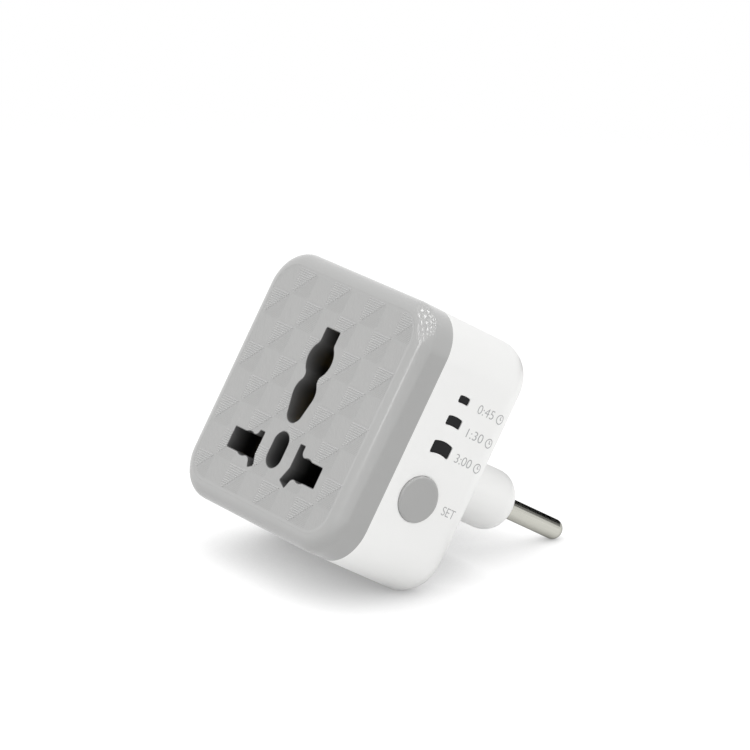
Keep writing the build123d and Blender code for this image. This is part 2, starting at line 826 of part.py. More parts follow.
# Rectifier diodes: flat packages with end tabs on the back of the main board
with BuildPart() as rectifier_diodes:
    with BuildSketch(upright(board_back + diode_size[2])):
        with Locations(diode_place):
            with GridLocations(*diode_spacing, *diode_count):
                Rectangle(diode_size[0], diode_size[1])
    extrude(amount=diode_size[2])
    with BuildSketch(upright(board_back + diode_tab_thickness)):
        with Locations(diode_place):
            with GridLocations(*diode_spacing, *diode_count):
                Rectangle(diode_size[0] + 2 * diode_tab, diode_size[1] / 2)
    extrude(amount=diode_tab_thickness)
finish(rectifier_diodes, "rectifier_diodes")

# Display board: stands on the main board behind the right side
with BuildPart() as display_board:
    with BuildSketch(sideways(display_x - display_thickness)):
        with Locations(((display_front_depth + board_front) / 2, 0)):
            Rectangle(board_front - display_front_depth, 2 * display_half_height)
        with Locations(*[(board_front - header_size / 2, z) for x, z in header_leads]):
            Circle(lead_radius + lead_clearance, mode=Mode.SUBTRACT)
    extrude(amount=display_thickness)
finish(display_board, "display_board")

# Board link: a header in the corner between the boards, with a pin row into each
with BuildPart() as board_link:
    with BuildSketch(upright(board_front)):
        with Locations((header_x, header_height)):
            Rectangle(header_size, header_length)
    extrude(amount=header_size)
    add(straight_leads(header_leads, board_front))
    with BuildSketch(sideways(display_x - display_thickness)):
        with Locations(*[(board_front - header_size / 2, z) for x, z in header_leads]):
            Circle(lead_radius)
    extrude(amount=display_thickness)
finish(board_link, "board_link")

# Timer chip: a small package with two rows of legs on the inner face of the display board
with BuildPart() as timer_chip:
    leg_out, leg_wide, leg_thick = chip_leg_size
    with BuildSketch(sideways(display_x - display_thickness - chip_size[2])):
        with Locations((chip_depth, chip_height)):
            Rectangle(chip_size[1], chip_size[0])
    extrude(amount=chip_size[2])
    with BuildSketch(sideways(display_x - display_thickness - leg_thick)):
        with Locations((chip_depth, chip_height)):
            with GridLocations(chip_size[1] + leg_out, chip_leg_pitch, *chip_leg_count):
                Rectangle(leg_out, leg_wide)
    extrude(amount=leg_thick)
finish(timer_chip, "timer_chip")

# Indicator lamps: one behind each window
with BuildPart() as indicator_lamps:
    for window_height, window_width, window_tall in windows:
        with BuildSketch(sideways(display_x)):
            with Locations((button_depth, window_height)):
                RectangleRounded(lamp_size[0], lamp_size[1], lamp_corner_radius)
        extrude(amount=lamp_size[2])
finish(indicator_lamps, "indicator_lamps")

# Tact switch: a square base with a round well for its plunger
with BuildPart() as tact_switch:
    with BuildSketch(sideways(display_x)):
        with Locations((button_depth, button_height)):
            RectangleRounded(switch_size, switch_size, case_edge_radius)
            Circle(plunger_radius + plunger_clearance, mode=Mode.SUBTRACT)
    extrude(amount=switch_thickness)
finish(tact_switch, "tact_switch")

# Switch plunger: pressed by the button
with BuildPart() as switch_plunger:
    plunger_foot_x = display_x + button_travel + plunger_clearance / 2
    with BuildSketch(sideways(plunger_foot_x)):
        with Locations((button_depth, button_height)):
            Circle(plunger_radius)
    extrude(amount=plunger_top_x - plunger_foot_x)
    fillet(switch_plunger.edges().sort_by(Axis.X)[-1], plunger_edge_radius)
finish(switch_plunger, "switch_plunger")

# Set button: a round cap on a flange that keeps it behind the wall
with BuildPart() as set_button:
    with BuildSketch(sideways(button_back_x)):
        with Locations((button_depth, button_height)):
            Circle(button_flange_radius)
    extrude(amount=button_flange_thickness)
    with BuildSketch(sideways(inner_x - button_play)):
        with Locations((button_depth, button_height)):
            Circle(button_radius)
    extrude(amount=wall + button_proud + button_play)
    fillet(set_button.edges().sort_by(Axis.X)[-1], button_edge_radius)
finish(set_button, "set_button")

# Indicator lens: one smoked plate behind the wall, filling the windows, with a light pipe to each lamp
with BuildPart() as indicator_lens:
    with BuildSketch(sideways(inner_x - lens_plate_thickness)):
        with Locations((button_depth, (lens_plate_top + lens_plate_bottom) / 2)):
            RectangleRounded(
                lens_plate_width,
                lens_plate_top - lens_plate_bottom,
                case_corner_radius,
            )
    extrude(amount=lens_plate_thickness)
    for window_height, window_width, window_tall in windows:
        with BuildSketch(sideways(inner_x)):
            with Locations((button_depth, window_height)):
                add(window_outline(window_width, window_tall, lens_clearance))
        extrude(amount=wall - lens_sunk)
        with BuildSketch(sideways(lamp_top_x + lens_pipe_gap)):
            with Locations((button_depth, window_height)):
                Rectangle(lamp_size[0] + lens_pipe_margin, lamp_size[1] + lens_pipe_margin)
        extrude(amount=inner_x - lens_plate_thickness - lamp_top_x - lens_pipe_gap)
finish(indicator_lens, "indicator_lens")

# Housing screws: pan-head screws sunk in the rear, one to each post
with BuildPart() as housing_screws:
    with BuildSketch(upright(screw_seat)):
        with Locations(*post_places):
            Circle(screw_radius)
    extrude(amount=screw_length)
    with BuildSketch(upright(screw_seat + screw_head_thickness)):
        with Locations(*post_places):
            Circle(screw_head_radius)
    extrude(amount=screw_head_thickness)
    with BuildSketch(upright(screw_seat + screw_head_thickness)):
        with Locations(*post_places):
            Rectangle(screw_recess_length, screw_recess_width)
            Rectangle(screw_recess_width, screw_recess_length)
    extrude(amount=screw_recess_depth, mode=Mode.SUBTRACT)
finish(housing_screws, "housing_screws")
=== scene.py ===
# %% [markdown]
# # Dressing a plug-in surge protector with a timer
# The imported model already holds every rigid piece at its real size: the grey cover, the white
# housing, the pins, the button and the parts on the boards inside. This lesson loads that model
# and gives it its looks: finishes made of shader nodes, the fine hatched relief of the cover, the
# dark inside of the socket and the small print beside the windows.

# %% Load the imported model
import json
import math

import bmesh
import bpy
from mathutils import Matrix, Vector
from mathutils.bvhtree import BVHTree


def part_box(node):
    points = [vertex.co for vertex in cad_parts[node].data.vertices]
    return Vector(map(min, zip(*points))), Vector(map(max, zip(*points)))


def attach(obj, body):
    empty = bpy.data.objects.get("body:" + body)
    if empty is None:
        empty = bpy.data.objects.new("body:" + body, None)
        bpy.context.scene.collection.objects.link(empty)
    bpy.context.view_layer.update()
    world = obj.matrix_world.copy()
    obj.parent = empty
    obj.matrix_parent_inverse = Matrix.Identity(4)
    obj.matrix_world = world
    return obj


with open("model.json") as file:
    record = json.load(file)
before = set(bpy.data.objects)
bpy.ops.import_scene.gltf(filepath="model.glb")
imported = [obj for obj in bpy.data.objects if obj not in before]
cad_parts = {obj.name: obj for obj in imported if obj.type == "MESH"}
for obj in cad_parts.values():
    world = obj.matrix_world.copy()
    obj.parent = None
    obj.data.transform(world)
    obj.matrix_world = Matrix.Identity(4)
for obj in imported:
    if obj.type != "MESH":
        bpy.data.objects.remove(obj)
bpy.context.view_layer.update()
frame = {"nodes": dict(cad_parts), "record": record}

nodes = frame["nodes"]

# %% [markdown]
# ## Finding our way on the object
# Blender works in metres, while the sizes of a plug are easier to read in millimetres. All places
# below are therefore given as millimetres on the body: across from its middle, in depth from its
# front face, and in height from its middle. The numbers for the front face and the middle come
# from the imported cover, so that nothing has to be fitted by eye.

# %% Places on the body
MM = 0.001
cover_low, cover_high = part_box("front_cover")
face_y = cover_low.y
middle_z = (cover_low.z + cover_high.z) / 2


def on_body(across, depth, height):
    """A point in metres from millimetres across, in depth and in height on the body."""
    return Vector((across * MM, face_y + depth * MM, middle_z + height * MM))


print("front face at y =", round(face_y, 5), "middle at z =", round(middle_z, 5))

# %% [markdown]
# ## Camera
# The photograph was taken with a long lens from the right front, and the object leans back, so the
# picture is rolled against the object's own upright. The lens, place and three turns below were
# solved from the outline of the cover, the round button and the symmetry of the socket. Turning
# the camera with three rotations, one after the other, keeps each of them easy to read.

# %% Camera
SWING, LIFT, ROLL = math.radians(51.325), math.radians(-0.457), math.radians(25.15)
CAMERA_PLACE = (0.66502, -0.56363, 0.00514)
scene = bpy.context.scene
camera_data = bpy.data.cameras.new("camera")
camera_data.sensor_width = 36.0
camera_data.lens = 220.62
camera_data.clip_start = 0.05
camera_data.clip_end = 20.0
camera = bpy.data.objects.new("camera", camera_data)
scene.collection.objects.link(camera)
bpy.context.scene.camera = camera
camera_turn = Matrix.Rotation(SWING, 4, "Z") @ Matrix.Rotation(math.pi / 2 - LIFT, 4, "X")
camera_turn = camera_turn @ Matrix.Rotation(ROLL, 4, "Z")
camera.matrix_world = Matrix.Translation(CAMERA_PLACE) @ camera_turn
print("camera right", [round(v, 4) for v in camera_turn.col[0][:3]])

# %% [markdown]
# ## Small helpers for shader nodes
# Node trees get long when every node takes five lines. One helper adds a node, sets its options
# and either types a value into each input or links it to another node's output. The next ones use
# it for what comes up again and again: a sum of two values, a value stretched from one range to
# another, a measure of two vectors, the place of a point on the object, and the X, Y and Z of such
# a place. The last one starts a node group, which is a little machine with named inputs and outputs
# that many materials can share.

# %% Node helpers
def put(tree, kind, inputs=None, **options):
    """Adds a node with its options, and fills its inputs with values or links."""
    node = tree.nodes.new(kind)
    for name, value in options.items():
        setattr(node, name, value)
    for name, value in (inputs or {}).items():
        if isinstance(value, bpy.types.NodeSocket):
            tree.links.new(value, node.inputs[name])
        else:
            node.inputs[name].default_value = value
    return node


def sums(tree, operation, first, second):
    """A Math node's result for two values or outputs."""
    return put(tree, "ShaderNodeMath", {0: first, 1: second}, operation=operation).outputs[0]


def mapped(tree, value, span, result=(0.0, 1.0), interpolation="LINEAR"):
    """Turns a value that runs over a span into one that runs over a result."""
    inputs = {
        "Value": value,
        "From Min": span[0],
        "From Max": span[1],
        "To Min": result[0],
        "To Max": result[1],
    }
    ranged = put(tree, "ShaderNodeMapRange", inputs, interpolation_type=interpolation)
    return ranged.outputs["Result"]


def measured(tree, operation, first, second):
    """The number that Vector Math gets from two vectors, such as their distance."""
    return put(tree, "ShaderNodeVectorMath", {0: first, 1: second}, operation=operation).outputs["Value"]


def object_place(tree):
    """The Object coordinates of whatever wears this material."""
    return put(tree, "ShaderNodeTexCoord").outputs["Object"]


def split(tree, vector):
    """The X, Y and Z outputs of a vector."""
    return put(tree, "ShaderNodeSeparateXYZ", {0: vector}).outputs


def start_group(name, inputs, outputs):
    """An empty node group with named inputs (kind and value) and outputs (kind)."""
    tree = bpy.data.node_groups.new(name, "ShaderNodeTree")
    for socket, (kind, value) in inputs.items():
        made = tree.interface.new_socket(name=socket, in_out="INPUT", socket_type=kind)
        if value is not None:
            made.default_value = value
    for socket, kind in outputs.items():
        tree.interface.new_socket(name=socket, in_out="OUTPUT", socket_type=kind)
    taken = tree.nodes.new("NodeGroupInput").outputs
    given = tree.nodes.new("NodeGroupOutput").inputs
    return tree, taken, given


FLOAT, VECTOR = "NodeSocketFloat", "NodeSocketVector"

# %% [markdown]
# ## The studio: floor, world and lamps
# The object leans back on its lower rear edge and on the tips of its pins, so the floor lies
# tilted to the object's own frame. It touches the rounded rear edge and the underside of the pins.
# A lit white floor would need strong lamps to look pure white, and these would burn out the white
# housing. The floor therefore adds a little light of its own, only towards the camera and towards
# mirrors, and stays a plain diffuse surface for everything else, which keeps the soft shadow.
# Near the object an ambient occlusion node dims that added light, which paints a contact shadow.
# Its rim fades out, and its underside is clear, so that views from below are not blocked.

# %% Where the floor lies
LEAN = math.radians(29.26)
REAR_EDGE, EDGE_RADIUS, FLOOR_GAP = (0, 23.4, -19.5), 5.5, 0.02
floor_up = Vector((0.0, -math.sin(LEAN), math.cos(LEAN)))
floor_point = on_body(*REAR_EDGE) - floor_up * ((EDGE_RADIUS + FLOOR_GAP) * MM)
print("floor tilted by", round(math.degrees(LEAN), 1), "degrees")

# %% Floor finish
PAPER, PAPER_SHARE, GLOW_SHARE = 0.90, 0.28, 0.86
PAINTED_SHADOW_REACH, PAINTED_SHADOW_END, PAINTED_SHADOW_DARKEST = 0.014, 0.85, 0.30
RIM_FROM, RIM_TO = 0.16, 0.34


def bare_material(name):
    """A new material with an empty node tree, and that tree."""
    made = bpy.data.materials.new(name)
    made.use_nodes = True
    made.node_tree.nodes.clear()
    return made, made.node_tree


def looked_at(tree):
    """1 for rays from the camera, off gloss or through glass, and 0 for the rays of plain light."""
    path = put(tree, "ShaderNodeLightPath").outputs
    seen = sums(tree, "MAXIMUM", path["Is Camera Ray"], path["Is Glossy Ray"])
    return sums(tree, "MAXIMUM", seen, path["Is Transmission Ray"])


def grey(level):
    """A grey as a colour with alpha."""
    return (level, level, level, 1.0)


floor_finish, tree = bare_material("studio_floor")
# Painted shadow: an ambient occlusion node dims the floor's own glow near the object.
painted_shadow_nearness = put(tree, "ShaderNodeAmbientOcclusion", {"Distance": PAINTED_SHADOW_REACH}, samples=12).outputs["AO"]
painted_shadow_strength = mapped(tree, painted_shadow_nearness, (0.0, PAINTED_SHADOW_END), (PAINTED_SHADOW_DARKEST * GLOW_SHARE, GLOW_SHARE))
glow_with_painted_shadow = put(tree, "ShaderNodeEmission", {"Strength": painted_shadow_strength}).outputs[0]
paper = put(tree, "ShaderNodeBsdfDiffuse", {"Color": grey(PAPER)}).outputs[0]
shown = put(tree, "ShaderNodeBsdfDiffuse", {"Color": grey(PAPER_SHARE)}).outputs[0]
shown = put(tree, "ShaderNodeAddShader", {0: shown, 1: glow_with_painted_shadow}).outputs[0]
sheet = put(tree, "ShaderNodeMixShader", {0: looked_at(tree), 1: paper, 2: shown}).outputs[0]
away = measured(tree, "DISTANCE", object_place(tree), floor_point)
rim = mapped(tree, away, (RIM_FROM, RIM_TO), interpolation="SMOOTHSTEP")
hidden = sums(tree, "MAXIMUM", rim, put(tree, "ShaderNodeNewGeometry").outputs["Backfacing"])
clear = put(tree, "ShaderNodeBsdfTransparent").outputs[0]
faded = put(tree, "ShaderNodeMixShader", {0: hidden, 1: sheet, 2: clear}).outputs[0]
put(tree, "ShaderNodeOutputMaterial", {"Surface": faded})
print("floor fades out", RIM_FROM, "to", RIM_TO, "m away")

# %% Floor
FLOOR_SIZE = 0.9


def meshed(name, mesh, finish):
    """Turns a bmesh into an object in the scene that wears one finish."""
    data = bpy.data.meshes.new(name)
    mesh.to_mesh(data)
    mesh.free()
    data.materials.append(finish)
    made = bpy.data.objects.new(name, data)
    scene.collection.objects.link(made)
    return made


floor_mesh = bmesh.new()
floor_place = Matrix.Translation(floor_point) @ Matrix.Rotation(LEAN, 4, "X")
bmesh.ops.create_grid(floor_mesh, x_segments=8, y_segments=8, size=FLOOR_SIZE, matrix=floor_place)
floor = meshed("studio_floor", floor_mesh, floor_finish)
print("floor", len(floor.data.polygons), "faces")

# %% World
ROOM_LIGHT = 0.65
scene.view_settings.view_transform = "Standard"
world = bpy.data.worlds.new("studio_white")
scene.world = world
world.use_nodes = True
tree = world.node_tree
tree.nodes.clear()
strength = mapped(tree, looked_at(tree), (0.0, 1.0), (ROOM_LIGHT, 1.0))
white = put(tree, "ShaderNodeBackground", {"Color": grey(1.0), "Strength": strength}).outputs[0]
put(tree, "ShaderNodeOutputWorld", {"Surface": white})
print("room light", ROOM_LIGHT)

# %% Lamps
MIDDLE_DEPTH = 15
camera_side = (camera.matrix_world.translation - floor_point).normalized()
floor_right = camera_turn.col[0].to_3d()
floor_right = (floor_right - floor_up * floor_right.dot(floor_up)).normalized()
floor_near = floor_right.cross(floor_up).normalized()
if floor_near.dot(camera_side) < 0:
    floor_near = -floor_near
studio_turn = Matrix((floor_right, floor_near, floor_up)).transposed().to_4x4()
body_middle = on_body(0, MIDDLE_DEPTH, 0)


def studio_place(right, up, near):
    """A point in metres right, above and in front of the object as the camera sees it."""
    return body_middle + floor_right * right + floor_up * up + floor_near * near


def aimed(place, front):
    """The matrix that puts something at a place with its front towards the object."""
    turn = (body_middle - place).to_track_quat(front, "Y").to_matrix().to_4x4()
    return Matrix.Translation(place) @ turn


def lamp(name, right, up, near, size, watts):
    """A soft flat lamp that lights the object and stays out of reflections."""
    data = bpy.data.lights.new(name, "AREA")
    data.shape = "RECTANGLE"
    data.size, data.size_y = size
    data.energy = watts
    made = bpy.data.objects.new(name, data)
    place = studio_place(right, up, near)
    made.matrix_world = aimed(place, "-Z")
    made.visible_glossy = False
    scene.collection.objects.link(made)
    print("lamp", name, "at", [round(v, 2) for v in place])


lamp("lamp_upper_left", right=-0.50, up=0.85, near=0.08, size=(0.8, 0.8), watts=4.6)
lamp("lamp_right", right=0.75, up=0.40, near=0.60, size=(0.8, 0.7), watts=2.75)

# %% [markdown]
# ## What the gloss mirrors
# Gloss shows what stands around an object. The corner of the cover mirrors a ceiling of small
# lamps, its right edge a long lamp as a bright line and then a grey table, and the nickel pin
# something dark behind it. All of these are built as studio pieces that only mirrors see: discs
# overhead, an upright strip, a flat mat and dark sheets that a spin bends round the pin. A hard end
# would show as a step on the gloss, so the strip fades at its lower end, and the mat at its rim and
# to the left. The pieces add no light of their own and stay out of every picture, so they change
# nothing but reflections.

# %% Helper for mirrored pieces
def mirrored(name, mesh, strength, fades=()):
    """A white studio piece that only reflections see. Each fade measures its points against a
    vector and changes the strength smoothly between two measures, from a first value to its own."""
    shine, tree = bare_material(name)
    for operation, vector, start, end, first in fades:
        measure = measured(tree, operation, object_place(tree), vector)
        strength = mapped(tree, measure, (start, end), (first, strength), "SMOOTHSTEP")
    light = put(tree, "ShaderNodeEmission", {"Strength": strength}).outputs[0]
    put(tree, "ShaderNodeOutputMaterial", {"Surface": light})
    made = meshed(name, mesh, shine)
    made.visible_camera = False
    made.visible_diffuse = False
    made.visible_transmission = False
    made.visible_shadow = False
    print("mirrored", name, len(made.data.polygons), "faces")


# %% Ceiling lamps
CEILING, STRIP_STEP, SPOT_STEP, SPOT_LIGHT = 0.5, 0.27, 0.15, 8.0
SPOTS, SPOT_SHIFT = range(-2, 4), Vector((0.06, 0.12, 0.0))
SPOT_SIZE = Matrix.Diagonal((0.060, 0.032, 1.0, 1.0))
strips_turn = Matrix.Rotation(math.radians(-22), 4, "Z")
ceiling = bmesh.new()
for across in SPOTS:
    for along in SPOTS:
        step = strips_turn @ Vector((across * STRIP_STEP, along * SPOT_STEP, 0.0)) + SPOT_SHIFT
        spot = Matrix.Translation(studio_place(step.x, CEILING, step.y)) @ studio_turn @ strips_turn
        spot = spot @ SPOT_SIZE
        bmesh.ops.create_circle(ceiling, cap_ends=True, segments=12, radius=1.0, matrix=spot)
mirrored("studio_ceiling", ceiling, SPOT_LIGHT)

# %% Long lamp
STRIP_LIGHT, STRIP_WIDE, STRIP_TALL = 4.0, 0.08, 0.30
DARK_UP_TO, BRIGHT_FROM = -0.030, 0.012
strip = bmesh.new()
strip_place = aimed(studio_place(-0.45, 0.45, 0.75), "Z")
strip_place = strip_place @ Matrix.Diagonal((STRIP_WIDE, STRIP_TALL, 1.0, 1.0))
bmesh.ops.create_grid(strip, x_segments=1, y_segments=1, size=1.0, matrix=strip_place)
lower_fade = ("DOT_PRODUCT", (0.0, 0.0, 1.0), DARK_UP_TO, BRIGHT_FROM, 1.0)
mirrored("studio_strip", strip, STRIP_LIGHT, [lower_fade])

# %% Grey mat on the floor
MAT_LOW, MAT_NEAR, MAT_SOFT, MAT_FAR = -0.026, 0.015, 0.13, 0.32
MAT_FROM, MAT_TURN = math.radians(-130), math.radians(211)
MAT_GREY, LEFT_GREY, LEFT_FROM, LEFT_TO = 0.30, 0.80, -0.030, 0.022
mat = bmesh.new()
ends = []
for out in (MAT_NEAR, MAT_FAR):
    ends.append(mat.verts.new(studio_place(out * math.sin(MAT_FROM), MAT_LOW, out * math.cos(MAT_FROM))))
rail = mat.edges.new(ends)
bmesh.ops.spin(
    mat,
    geom=[*ends, rail],
    cent=body_middle,
    axis=floor_near.cross(floor_right),
    angle=MAT_TURN,
    steps=24,
)
mat_middle = floor_right.dot(body_middle)
left_fade = ("DOT_PRODUCT", floor_right, mat_middle + LEFT_FROM, mat_middle + LEFT_TO, LEFT_GREY)
far_fade = ("DISTANCE", body_middle, MAT_FAR, MAT_SOFT, 1.0)
mirrored("studio_mat", mat, MAT_GREY, [left_fade, far_fade])

# %% Dark screens behind the pin
SCREEN_RADIUS, SCREEN_NEAR, SCREEN_FAR = 0.075, 0.056, 0.100
SCREENS = (("studio_screen", -66, 8, 0.0), ("studio_veil", 8, 36, 0.25))
pin_low, pin_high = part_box("plug_pin_right")
pin_axis = Vector(((pin_low.x + pin_high.x) / 2, 0.0, 0.0))
for name, first, last, level in SCREENS:
    screen = bmesh.new()
    start = pin_axis + Matrix.Rotation(math.radians(first), 4, "Y") @ Vector((0.0, 0.0, SCREEN_RADIUS))
    ends = [screen.verts.new(start + Vector((0.0, y, 0.0))) for y in (SCREEN_NEAR, SCREEN_FAR)]
    edge = screen.edges.new(ends)
    bmesh.ops.spin(
        screen,
        geom=[*ends, edge],
        cent=pin_axis,
        axis=(0, 1, 0),
        angle=math.radians(last - first),
        steps=12,
    )
    mirrored(name, screen, level)

# %% [markdown]
# ## Shared effects
# Moulded plastic is never quite one colour or one gloss: it clouds slightly where the melt cooled
# at different speeds, and its skin carries the finest trace of the tool. Rolled and turned metal
# has long fine streaks along one direction. Each effect is built once as a node group and placed
# in the materials with its own values, so all plastics age alike and all metals streak alike.

# %% Helpers for surface groups
SURFACE = {"Tone": FLOAT, "Roughness": FLOAT, "Height": FLOAT}


def noise(tree, vector, scale, detail, roughness):
    """The grey of a noise texture."""
    inputs = {"Vector": vector, "Scale": scale, "Detail": detail, "Roughness": roughness}
    return put(tree, "ShaderNodeTexNoise", inputs).outputs["Fac"]


def give_surface(tree, taken, given, tone, depth, gloss, height):
    """Links a surface group's outputs: a tone of some depth, a roughness from two noises, a height."""
    dimmest = sums(tree, "SUBTRACT", 1.0, depth)
    brightest = sums(tree, "ADD", 1.0, depth)
    tree.links.new(mapped(tree, tone, (0.0, 1.0), (dimmest, brightest)), given["Tone"])
    mixed = sums(tree, "MULTIPLY", sums(tree, "ADD", *gloss), 0.5)
    roughness = mapped(tree, mixed, (0.0, 1.0), (taken["Gloss Low"], taken["Gloss High"]))
    tree.links.new(roughness, given["Roughness"])
    tree.links.new(height, given["Height"])
    print("group", tree.name)


# %% Group: moulded surface
moulded_surface, taken, given = start_group(
    "moulded_surface",
    {
        "Vector": (VECTOR, None),
        "Cloud Scale": (FLOAT, 60.0),
        "Cloud Depth": (FLOAT, 0.03),
        "Skin Scale": (FLOAT, 3500.0),
        "Gloss Low": (FLOAT, 0.25),
        "Gloss High": (FLOAT, 0.32),
    },
    SURFACE,
)
clouds = noise(moulded_surface, taken["Vector"], taken["Cloud Scale"], detail=3.0, roughness=0.55)
skin = noise(moulded_surface, taken["Vector"], taken["Skin Scale"], detail=2.0, roughness=0.6)
give_surface(moulded_surface, taken, given, clouds, taken["Cloud Depth"], (clouds, skin), skin)

# %% Group: streaked metal
STAIN_SCALE = 180.0
streaked_metal, taken, given = start_group(
    "streaked_metal",
    {
        "Vector": (VECTOR, None),
        "Stretch": (VECTOR, (1.0, 1.0, 1.0)),
        "Streak Scale": (FLOAT, 900.0),
        "Streak Depth": (FLOAT, 0.08),
        "Gloss Low": (FLOAT, 0.18),
        "Gloss High": (FLOAT, 0.34),
    },
    SURFACE,
)
stretched = put(
    streaked_metal,
    "ShaderNodeVectorMath",
    {0: taken["Vector"], 1: taken["Stretch"]},
    operation="MULTIPLY",
).outputs["Vector"]
streaks = noise(streaked_metal, stretched, taken["Streak Scale"], detail=4.0, roughness=0.6)
stains = noise(streaked_metal, taken["Vector"], STAIN_SCALE, detail=2.0, roughness=0.5)
give_surface(streaked_metal, taken, given, streaks, taken["Streak Depth"], (streaks, stains), streaks)

# %% [markdown]
# ## Finishes
# Every material is a Principled shader whose colour, roughness and bump come from one of the
# groups. What is the same all over, such as metal or coat, is typed straight into the shader. A
# finish is a function, because the plastics differ only in colour, gloss and grain.

# %% Finish helpers
SKIN_RISE, STREAK_RISE, STREAK_BUMP = 0.00002, 0.00001, 0.3


def toned(tree, colour, tone):
    """A colour, or a colour output, made lighter or darker by a tone."""
    inputs = {0: 1.0, 6: colour, 7: tone}
    return put(tree, "ShaderNodeMix", inputs, data_type="RGBA", blend_type="MULTIPLY").outputs[2]


def opened(finish):
    """The node tree and the Principled shader of a finish."""
    return finish.node_tree, finish.node_tree.nodes["Principled BSDF"]


def surfaced(name, group, colour, gloss, values, bump):
    """A new material whose colour, roughness and bump come from a surface group."""
    made = bpy.data.materials.new(name)
    made.use_nodes = True
    tree, shader = opened(made)
    inputs = {"Vector": object_place(tree), "Gloss Low": gloss[0], "Gloss High": gloss[1], **values}
    surface = put(tree, "ShaderNodeGroup", inputs, node_tree=group).outputs
    tree.links.new(toned(tree, (*colour, 1.0), surface["Tone"]), shader.inputs["Base Color"])
    tree.links.new(surface["Roughness"], shader.inputs["Roughness"])
    distance, strength = bump
    inputs = {"Height": surface["Height"], "Distance": distance, "Strength": strength}
    raised = put(tree, "ShaderNodeBump", inputs)
    tree.links.new(raised.outputs["Normal"], shader.inputs["Normal"])
    return made, shader.inputs


def plastic(name, colour, gloss, cloud=0.03, skin=0.25, coat=0.0, mirror=0.5):
    """Moulded plastic in one colour, with its range of roughness."""
    values = {"Cloud Depth": cloud}
    made, settings = surfaced(name, moulded_surface, colour, gloss, values, (SKIN_RISE, skin))
    settings["IOR"].default_value = 1.5
    settings["Specular IOR Level"].default_value = mirror
    settings["Coat Weight"].default_value = coat
    settings["Coat Roughness"].default_value = 0.04
    return made


def metal(name, colour, stretch, gloss, depth=0.08, edge=1.0):
    """Metal with streaks along the axes where the stretch is small, dimmed towards its outline."""
    values = {"Stretch": stretch, "Streak Depth": depth}
    made, settings = surfaced(name, streaked_metal, colour, gloss, values, (STREAK_RISE, STREAK_BUMP))
    settings["Metallic"].default_value = 1.0
    settings["Specular Tint"].default_value = grey(edge)
    return made


# %% Plain finishes
finishes = {
    "grey_gloss": plastic("grey_gloss", (0.41, 0.41, 0.405), (0.30, 0.40), skin=0.1, coat=1.0),
    "white_gloss": plastic("white_gloss", (0.89, 0.89, 0.88), (0.28, 0.38), cloud=0.012),
    "button_grey": plastic("button_grey", (0.41, 0.41, 0.405), (0.36, 0.46), skin=0.5, coat=0.7),
    "black_plastic": plastic("black_plastic", (0.022, 0.022, 0.023), (0.45, 0.6), cloud=0.15),
    "plunger_red": plastic("plunger_red", (0.45, 0.05, 0.04), (0.4, 0.5), cloud=0.05),
    "smoked_lens": plastic("smoked_lens", (0.024, 0.024, 0.025), (0.10, 0.18), cloud=0.10, mirror=0.15),
    "nickel": metal("nickel", (0.55, 0.545, 0.495), (1.0, 0.06, 1.0), (0.12, 0.22), depth=0.12, edge=0.4),
    "brass_strip": metal("brass_strip", (0.71, 0.56, 0.26), (1.0, 0.08, 1.0), (0.22, 0.36)),
    "tin": metal("tin", (0.62, 0.62, 0.62), (1.0, 0.2, 1.0), (0.3, 0.45)),
    "screw_steel": metal("screw_steel", (0.50, 0.50, 0.50), (1.0, 0.3, 1.0), (0.25, 0.4)),
}
print("plain finishes", len(finishes))

# %% [markdown]
# ## Parts on the boards
# A capacitor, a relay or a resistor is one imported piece, body and leads together. The body is
# moulded or lacquered and the leads are tinned wire, so one colour would be wrong for half of it.
# The piece could be cut in two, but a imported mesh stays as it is. Instead a mask tells the two
# apart: whatever lies behind the body's foot, or further from its axis than its radius, is wire.
# Several parts share that mask, so it is a node group.

# %% Group: tinned leads
tinned_leads, taken, given = start_group(
    "tinned_leads",
    {
        "Vector": (VECTOR, None),
        "Axis": (VECTOR, (0.0, 0.0, 0.0)),
        "Radius": (FLOAT, 1.0),
        "Foot": (FLOAT, 0.0),
    },
    {"Mask": FLOAT},
)
flat = put(
    tinned_leads,
    "ShaderNodeVectorMath",
    {0: taken["Vector"], 1: (1.0, 0.0, 1.0)},
    operation="MULTIPLY",
).outputs["Vector"]
from_axis = measured(tinned_leads, "DISTANCE", flat, taken["Axis"])
beside = sums(tinned_leads, "GREATER_THAN", from_axis, taken["Radius"])
behind = sums(tinned_leads, "GREATER_THAN", split(tinned_leads, taken["Vector"])["Y"], taken["Foot"])
tinned_leads.links.new(sums(tinned_leads, "MAXIMUM", beside, behind), given["Mask"])
print("group", tinned_leads.name)

# %% Finish with leads
TIN = (0.62, 0.62, 0.60, 1.0)
board_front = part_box("main_board")[0].y


def blended(tree, shader, mask, colour):
    """Lays another colour over the shader's own where the mask is 1."""
    plain = shader.inputs["Base Color"].links[0].from_socket
    mixed = put(tree, "ShaderNodeMix", {0: mask, 6: plain, 7: colour}, data_type="RGBA")
    tree.links.new(mixed.outputs[2], shader.inputs["Base Color"])


def wired(finish, foot, axis=(0.0, 0.0, 0.0), radius=1.0):
    """Tins what lies behind a body's foot or beside its radius, and returns the finish."""
    tree, shader = opened(finish)
    inputs = {"Vector": object_place(tree), "Axis": axis, "Radius": radius, "Foot": foot}
    wires = put(tree, "ShaderNodeGroup", inputs, node_tree=tinned_leads).outputs["Mask"]
    blended(tree, shader, wires, TIN)
    tree.links.new(wires, shader.inputs["Metallic"])
    return finish


